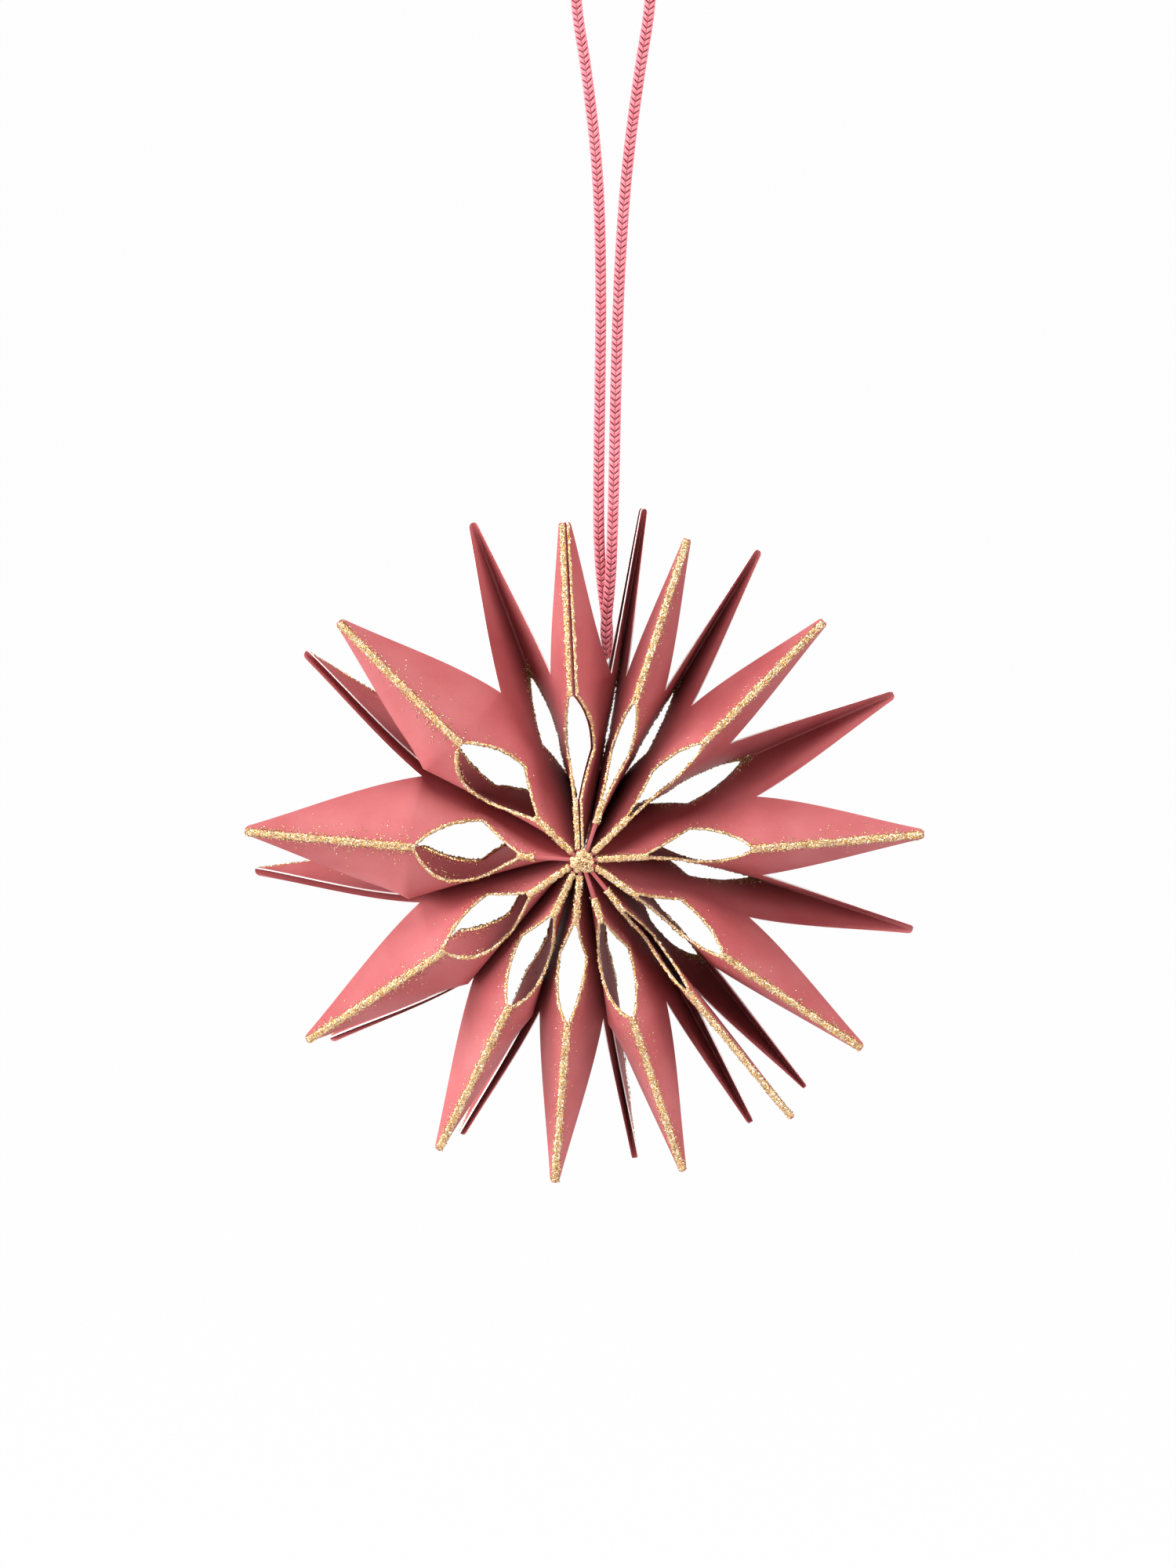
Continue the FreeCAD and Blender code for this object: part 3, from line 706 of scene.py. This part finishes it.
class Finish:
    """A new material with one Principled shader, whose plain values are set by name."""

    def __init__(self, name, **plain):
        self.material = bpy.data.materials.new(name)
        self.material.use_nodes = True
        self.tree = self.material.node_tree
        self.shader = self.tree.nodes["Principled BSDF"]
        self.set(self.shader, {key.replace("_", " "): value for key, value in plain.items()})
        self.place = self.node("ShaderNodeTexCoord").outputs["Object"]

    def set(self, node, sockets):
        for name, value in sockets.items():
            socket = node.inputs[name]
            value = value.socket if isinstance(value, Value) else value
            if isinstance(value, bpy.types.NodeSocket):
                self.tree.links.new(value, socket)
            else:
                socket.default_value = value

    def node(self, kind, settings=(), sockets=()):
        """New node of a type, with its settings made first and then its sockets."""
        node = self.tree.nodes.new(kind)
        for name, value in dict(settings).items():
            if name == "stops":
                ramp = node.color_ramp
                while len(ramp.elements) < len(value):
                    ramp.elements.new(1)
                for element, (position, colour) in zip(ramp.elements, value):
                    element.position, element.color = position, colour
            else:
                setattr(node, name, value)
        self.set(node, dict(sockets))
        return node

    def noise(self, size, detail=2.0, roughness=0.5):
        """Noise with lumps of about this size in metres, from 0 to 1."""
        node = self.node("ShaderNodeTexNoise", {}, {"Vector": self.place, "Scale": 1 / size,
                                                    "Detail": detail, "Roughness": roughness})
        return Value(self, node.outputs[0])

    def ramp(self, value, low, high, start=0.0, end=1.0):
        """Value carried from the range low..high to start..end, and held at both."""
        node = self.node("ShaderNodeMapRange", {}, {
            "Value": value, "From Min": low, "From Max": high, "To Min": start, "To Max": end})
        return Value(self, node.outputs[0])

    def mix(self, share_of, a, b):
        """Colour between a and b."""
        node = self.node("ShaderNodeMix", {"data_type": "RGBA"}, {0: share_of, 6: a, 7: b})
        return node.outputs[2]

    def bump(self, height, strength, depth):
        node = self.node("ShaderNodeBump", {}, {
            "Height": height, "Strength": strength, "Distance": depth})
        return node.outputs["Normal"]


def opaque(colour):
    """Colour with full alpha."""
    return (colour[0], colour[1], colour[2], 1.0)


def blend_of(a, b, t):
    """Plain colour at the share t of the way from a to b."""
    return opaque([p + (q - p) * t for p, q in zip(a, b)])


def card_finish(colour):
    """Dusty red card: faint cloudy tint, fine fibres, a low pearly sheen, and a ring of
    greyer haze near the back holes, by the depth y and by the distance from x = 0 at
    the hub's height."""
    f = Finish("card", Specular_IOR_Level=0.35, Coat_Roughness=0.45)
    cloud = f.noise(0.012, 3)
    fibre = f.noise(0.00028, 4, 0.7)
    deep = blend_of(colour, (0, 0, 0), 0.10)
    pale = blend_of(colour, (1, 1, 1), 0.04)
    tint = f.mix(f.ramp(cloud, 0.3, 0.7), deep, pale)
    tint = f.mix(f.ramp(fibre, 0.35, 0.75, 0, 0.35), tint, blend_of(colour, (1, 1, 1), 0.1))
    part = f.node("ShaderNodeSeparateXYZ", {}, {"Vector": f.place})
    x, y, z = (Value(f, socket) for socket in part.outputs)
    out = (x * x + (z - float(HUB[2])) ** 2) ** 0.5
    haze = f.ramp(out, 0.009, 0.014) * f.ramp(out, 0.022, 0.030, 1, 0)
    haze = haze * f.ramp(y, 0.003, 0.010, 0, 0.3)
    tint = f.mix(haze, tint, (0.42, 0.36, 0.34, 1))
    f.set(f.shader, {"Base Color": tint, "Roughness": f.ramp(fibre, 0.3, 0.7, 0.55, 0.7),
                     "Coat Weight": f.ramp(cloud, 0.3, 0.7, 0.0, 0.1),
                     "Normal": f.bump(f.noise(0.00045, 5, 0.6), 0.35, 0.00003)})
    return f.material


def edge_finish(colour):
    """The card's cut edge: pale fibres, some of them paler still."""
    f = Finish("card_edge", Roughness=0.85)
    grain = f.noise(0.0002, 3)
    tint = f.mix(f.ramp(grain, 0.35, 0.65), opaque(colour), blend_of(colour, (1, 1, 1), 0.5))
    f.set(f.shader, {"Base Color": tint, "Normal": f.bump(grain, 0.5, 0.00005)})
    return f.material


def glitter_finish(name, colour, size):
    """Glitter: cells of the size of a flake, each with its own gold and its own tilt."""
    f = Finish(name, Roughness=0.3, Metallic=0.7)
    cells = f.node("ShaderNodeTexVoronoi", {}, {"Vector": f.place, "Scale": 1 / size})
    pick = f.node("ShaderNodeSeparateColor", {}, {"Color": cells.outputs["Color"]})
    deep = opaque([colour[0] * 0.5, colour[1] * 0.35, colour[2] * 0.15])
    pale = blend_of(colour, (1, 0.95, 0.85), 0.6)
    stops = [(0.05, deep), (0.45, opaque(colour)), (0.8, pale)]
    tint = f.node("ShaderNodeValToRGB", {"stops": stops}, {0: pick.outputs[0]}).outputs[0]
    facing = f.node("ShaderNodeNewGeometry").outputs["Normal"]
    tilt = f.node("ShaderNodeVectorMath", {"operation": "SUBTRACT"},
                  {0: cells.outputs["Color"], 1: (0.5, 0.5, 0.5)}).outputs[0]
    tilted = f.node("ShaderNodeVectorMath", {"operation": "MULTIPLY_ADD"},
                    {0: tilt, 1: (1.1, 1.1, 1.1), 2: facing}).outputs[0]
    tilted = f.node("ShaderNodeVectorMath", {"operation": "NORMALIZE"}, {0: tilted}).outputs[0]
    f.set(f.shader, {"Base Color": tint, "Normal": tilted,
                     "Roughness": f.ramp(Value(f, pick.outputs[1]), 0, 1, 0.16, 0.45)})
    return f.material


def cord_finish(name, colour):
    """Cotton: a faint cloudy tint and fine pale fibres."""
    f = Finish(name, Roughness=0.9)
    cloud = f.noise(0.004, 2)
    fibre = f.noise(0.00013, 3, 0.6)
    deep, pale = blend_of(colour, (0, 0, 0), 0.08), blend_of(colour, (1, 1, 1), 0.06)
    tint = f.mix(f.ramp(cloud, 0.3, 0.7), deep, pale)
    tint = f.mix(f.ramp(fibre, 0.4, 0.75, 0, 0.3), tint, blend_of(colour, (1, 1, 1), 0.25))
    f.set(f.shader, {"Base Color": tint, "Normal": f.bump(fibre, 0.5, 0.00004)})
    return f.material


# --- settings and tools -----------------------------------------------------

LENS = 218.9
SHIFT = (0.001, 0.039)
FLOOR_DROP = 0.42            # from the hub to the floor
FLOOR_HALF = 9
FLOOR_WHITE = 0.985          # share of plain white that the camera sees in the floor
# each lamp's name, place from the hub, width and power
LAMPS = [("window_left", (-1.9, -0.3, 0.4), 1.0, 46.0),
         ("soft_left", (-1.5, -1.2, 0.35), 1.1, 20.0),
         ("soft_right", (1.75, -0.9, 0.55), 1.3, 25.0),
         ("soft_top", (0.1, -0.6, 1.6), 1.2, 32.0)]
WORLD_LIGHT = 0.07


def colour_setting(name, description, default):
    return FloatVectorProperty(name=name, description=description, subtype="COLOR",
                               size=3, min=0, max=1, default=default)


def fine_length(name, description, default):
    return FloatProperty(name=name, description=description, unit="LENGTH",
                         default=default, precision=5)


class StarCard(bpy.types.PropertyGroup):
    colour: colour_setting("Card colour", "Colour of the card's skins", (0.42, 0.072, 0.077))
    edge_colour: colour_setting("Edge colour", "Colour of the card's cut edges",
                                (0.95, 0.85, 0.82))
    columns: IntProperty(name="Columns", description="Points across each half panel",
                         min=3, max=24, default=9)


class StarGlitter(bpy.types.PropertyGroup):
    colour: colour_setting("Glitter colour", "Middle gold of the flakes", (0.80, 0.47, 0.17))
    flake: fine_length("Flake size", "Width of a flake in the glue", 0.0002)
    width: fine_length("Line width", "Glue on each side of a fold", 0.00036)
    height: fine_length("Line height", "How proud the glue stands", 0.00026)


class StarCord(bpy.types.PropertyGroup):
    colour: colour_setting("Cord colour", "Colour of the cotton yarns", (0.88, 0.22, 0.27))


class StarStage(bpy.types.PropertyGroup):
    elevation: FloatProperty(name="Elevation", description="Camera's height over the horizon",
                             default=13.7)
    azimuth: FloatProperty(name="Azimuth", description="Camera's turn to the star's right",
                           default=3.1)
    distance: FloatProperty(name="Distance", description="From the camera to the star's hub",
                            unit="LENGTH", default=1.9)


class STAR_OT_stage(bpy.types.Operator):
    """Builds the camera, the lamps, the floor and the white surroundings"""
    bl_idname = "star.stage"
    bl_label = "Stage and camera"

    def execute(self, context):
        settings = context.scene.star_stage
        scene = context.scene
        scene.view_settings.view_transform = "Standard"
        e, a = np.radians(settings.elevation), np.radians(settings.azimuth)
        back = Vector((np.sin(a) * np.cos(e), -np.cos(a) * np.cos(e), np.sin(e)))
        camera = bpy.data.objects.new("camera", bpy.data.cameras.new("camera"))
        scene.collection.objects.link(camera)
        camera.location = Vector(HUB) + back * settings.distance
        camera.rotation_euler = back.to_track_quat("Z", "Y").to_euler()
        camera.data.lens = LENS
        camera.data.shift_x, camera.data.shift_y = SHIFT
        scene.camera = camera
        for name, at, size, power in LAMPS:
            lamp = bpy.data.objects.new(name, bpy.data.lights.new(name, "AREA"))
            lamp.data.shape = "DISK"
            lamp.data.size = size
            lamp.data.energy = power
            lamp.location = Vector(HUB) + Vector(at)
            lamp.rotation_euler = Vector(at).to_track_quat("Z", "Y").to_euler()
            scene.collection.objects.link(lamp)
        self.floor(scene)
        self.surroundings(scene)
        return {"FINISHED"}

    def floor(self, scene):
        """Flat floor of 6 by 6 quads, which camera and glossy rays see as white."""
        x = np.linspace(-FLOOR_HALF, FLOOR_HALF, 7)
        points = np.stack([*np.meshgrid(x, x), np.full((7, 7), HUB[2] - FLOOR_DROP)], -1)
        mesh = bpy.data.meshes.new("floor")
        mesh.from_pydata(points.reshape(-1, 3).tolist(), [], grid_quads(7, 7).tolist())
        floor = bpy.data.objects.new("floor", mesh)
        scene.collection.objects.link(floor)
        f = Finish("pale_floor", Roughness=0.9)
        f.set(f.shader, {"Base Color": (0.82, 0.82, 0.82, 1)})
        white = f.node("ShaderNodeEmission", {}, {"Color": (1, 1, 1, 1), "Strength": 1.0})
        path = f.node("ShaderNodeLightPath")
        seen = Value(f, path.outputs["Is Camera Ray"]) + Value(f, path.outputs["Is Glossy Ray"])
        both = f.node("ShaderNodeMixShader", {}, {
            0: seen * FLOOR_WHITE, 1: f.shader.outputs[0], 2: white.outputs[0]})
        f.tree.links.new(both.outputs[0], f.tree.nodes["Material Output"].inputs["Surface"])
        mesh.materials.append(f.material)

    def surroundings(self, scene):
        """World that the camera sees as white and that lights the star only a little."""
        world = bpy.data.worlds.new("white_room")
        world.use_nodes = True
        tree = world.node_tree
        path = tree.nodes.new("ShaderNodeLightPath")
        strength = tree.nodes.new("ShaderNodeMapRange")
        strength.inputs["To Min"].default_value = WORLD_LIGHT
        strength.inputs["To Max"].default_value = 1.0
        tree.links.new(path.outputs["Is Camera Ray"], strength.inputs["Value"])
        tree.nodes["Background"].inputs["Color"].default_value = (1, 1, 1, 1)
        tree.links.new(strength.outputs[0], tree.nodes["Background"].inputs["Strength"])
        scene.world = world


class STAR_OT_cord(bpy.types.Operator):
    """Builds the braided cotton cord and its fuzz"""
    bl_idname = "star.cord"
    bl_label = "Cord"

    def execute(self, context):
        settings = context.scene.star_cord
        route = cord_route()
        points = spline_points(route, 24)
        s, line, tangent, side, front = along(points, 0.0005)
        total = s[-1]
        slim = np.clip(END_SHARE + (1 - END_SHARE) * np.minimum(s, total - s) / END_TAPER, 0, 1)
        pile = Pile()
        rng = np.random.default_rng(5)
        braid(pile, s, line, tangent, side, front, slim)
        finish = cord_finish("cord_cotton", settings.colour)
        # the darker core finish is painted shade for the grooves between the stitches, not a dyed
        # core
        painted_groove_finish = cord_finish("cord_painted_groove_shade", [GROOVE_PAINTED_SHADE * part for part in settings.colour])
        cord = pile.object("hanging_cord_braid", [finish, painted_groove_finish])
        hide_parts("hanging_cord")
        fuzz = self.fuzz(line, side, front, finish, rng)
        return {"FINISHED"}

    def fuzz(self, line, side, front, finish, rng):
        """Short fine hairs that stand out of the yarns, each a curved tapering tube."""
        count, steps, sides = HAIRS, 5, 3
        row = rng.integers(40, len(line) - 40, count)
        angle = rng.uniform(0, 2 * np.pi, count)
        out = side[row] * np.cos(angle)[:, None] + front[row] * np.sin(angle)[:, None]
        curl = rng.normal(size=(count, 3)) * 0.7
        length = rng.uniform(*HAIR_LENGTH, count)[:, None, None]
        t = np.linspace(0, 1, steps)[None, :, None]
        path = (line[row] + out * HAIR_ROOT)[:, None]
        path = path + (out[:, None] * t * 0.6 + curl[:, None] * t ** 1.4) * length
        a = np.linspace(0, 2 * np.pi, sides, endpoint=False)
        across = np.cross(out, curl)
        across /= np.linalg.norm(across, axis=1)[:, None]
        third = np.cross(out, across)
        ring = (across[:, None, None] * np.cos(a)[None, None, :, None]
                + third[:, None, None] * np.sin(a)[None, None, :, None]) * HAIR_RADIUS
        ring = ring * (1 - 0.8 * t[..., None]) * (t[..., None] > 0) * (t[..., None] < 1)
        pile = Pile()
        for loop in path[:, :, None] + ring:
            pile.grid(loop, closed=True)
        hair = pile.object("cord_fuzz", [finish])
        return hair


class STAR_OT_card(bpy.types.Operator):
    """Builds the folded card with its holes, points and cut edges"""
    bl_idname = "star.card"
    bl_label = "Folded card"

    def execute(self, context):
        settings = context.scene.star_card
        materials = [card_finish(settings.colour), edge_finish(settings.edge_colour)]
        card = folded_card(settings.columns, materials)
        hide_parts("pleated_star")
        return {"FINISHED"}


def glue_piece(pile, name, finish):
    """The piece of glitter glue that replaces the frame's piece of this name."""
    piece = pile.object(name + "_glue", [finish])
    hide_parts(name)


class STAR_OT_glitter(bpy.types.Operator):
    """Builds the glitter glue along every fold and round every hole"""
    bl_idname = "star.glitter"
    bl_label = "Glitter lines"

    def execute(self, context):
        settings = context.scene.star_glitter
        finish = glitter_finish("glitter_gold", settings.colour, settings.flake)
        for fold in range(24):
            self.line(fold, settings, finish)
        for name, panel, end in (("glitter_join_front", 0, 0), ("glitter_join_back", 24, 1)):
            rng = np.random.default_rng(900 + panel)
            pile = Pile()
            w, h = settings.width, settings.height
            cut_bead(pile, panel, end, BLOB_RADIUS, HOLE_INNER, w, h, rng)
            hole_bead(pile, panel, end, HOLE_INNER, HOLE_OUTER, w * 1.3, h, rng)
            cut_bead(pile, panel, end, HOLE_OUTER, TIP_RADIUS, w * 0.8, h, rng)
            glue_piece(pile, name, finish)
        return {"FINISHED"}

    def line(self, fold, settings, finish):
        """One fold's glue: its two lines, the rims of its hole, flakes and dust."""
        rng = np.random.default_rng(100 + fold)
        beside_fold = neighbours(fold)
        left = None if fold == 1 else beside_fold[0]
        right = None if fold == 0 else beside_fold[1]
        start = FRONT_STARTS[fold // 2] * 0.001 if fold % 2 == 0 else BLOB_RADIUS
        w, h = settings.width, settings.height
        pile = Pile()
        crest_bead(pile, fold, left, right, start, HOLE_INNER + HOLE_LAP[0],
                   w * 1.15, h * 1.1, rng)
        thin = BEYOND_HOLE[fold % 2]
        crest_bead(pile, fold, left, right, HOLE_OUTER - HOLE_LAP[1], TIP_RADIUS,
                   w * thin, h * thin, rng)
        for panel, end in ((left, 1), (right, 0)):
            if panel is not None:
                hole_bead(pile, panel, end, HOLE_INNER, HOLE_OUTER, w * 1.5, h * 1.15, rng)
        fold_flakes(pile, fold, left, right, start, rng)
        dust(pile, *beside_fold, DUST_COUNT[fold % 2], rng)
        name = "glitter_%s_%02d" % ("back" if fold % 2 else "front", fold // 2 + 1)
        glue_piece(pile, name, finish)


class STAR_OT_hub(bpy.types.Operator):
    """Builds the glitter blob on each side of the hub"""
    bl_idname = "star.hub"
    bl_label = "Hub blobs"

    def execute(self, context):
        settings = context.scene.star_glitter
        finish = glitter_finish("glitter_pale_gold", settings.colour, settings.flake)
        for name, side in (("hub_blob_front", -1), ("hub_blob_back", 1)):
            rng = np.random.default_rng(40 + side)
            shape = blob(side, BLOB_RADIUS * BLOB_SHARE, BLOB_HEIGHT, rng)
            pile = Pile()
            pile.grid(shape, 0, side < 0, True)
            glue_piece(pile, name, finish)
        return {"FINISHED"}


TOOLS = [STAR_OT_stage, STAR_OT_cord, STAR_OT_card, STAR_OT_glitter, STAR_OT_hub]
GROUPS = {"star_card": StarCard, "star_glitter": StarGlitter,
          "star_cord": StarCord, "star_stage": StarStage}


class STAR_PT_tools(bpy.types.Panel):
    """Lists the star's tools and settings"""
    bl_idname = "STAR_PT_tools"
    bl_label = "Pleated paper star"
    bl_space_type = "VIEW_3D"
    bl_region_type = "UI"
    bl_category = "Star"

    def draw(self, context):
        for name in GROUPS:
            group = getattr(context.scene, name)
            for key in group.bl_rna.properties.keys():
                if key not in ("rna_type", "name"):
                    self.layout.prop(group, key)
        for tool in TOOLS:
            self.layout.operator(tool.bl_idname)


def register():
    for kind in [*GROUPS.values(), *TOOLS, STAR_PT_tools]:
        bpy.utils.register_class(kind)
    for name, kind in GROUPS.items():
        setattr(bpy.types.Scene, name, PointerProperty(type=kind))


def unregister():
    for name in GROUPS:
        delattr(bpy.types.Scene, name)
    for kind in [STAR_PT_tools, *TOOLS[::-1], *list(GROUPS.values())[::-1]]:
        bpy.utils.unregister_class(kind)


def main():
    """Registers the tools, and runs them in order."""
    register()
    bpy.ops.star.stage()
    bpy.ops.star.cord()
    bpy.ops.star.card()
    bpy.ops.star.glitter()
    bpy.ops.star.hub()
    bpy.context.view_layer.update()


if __name__ == "__main__":
    main()
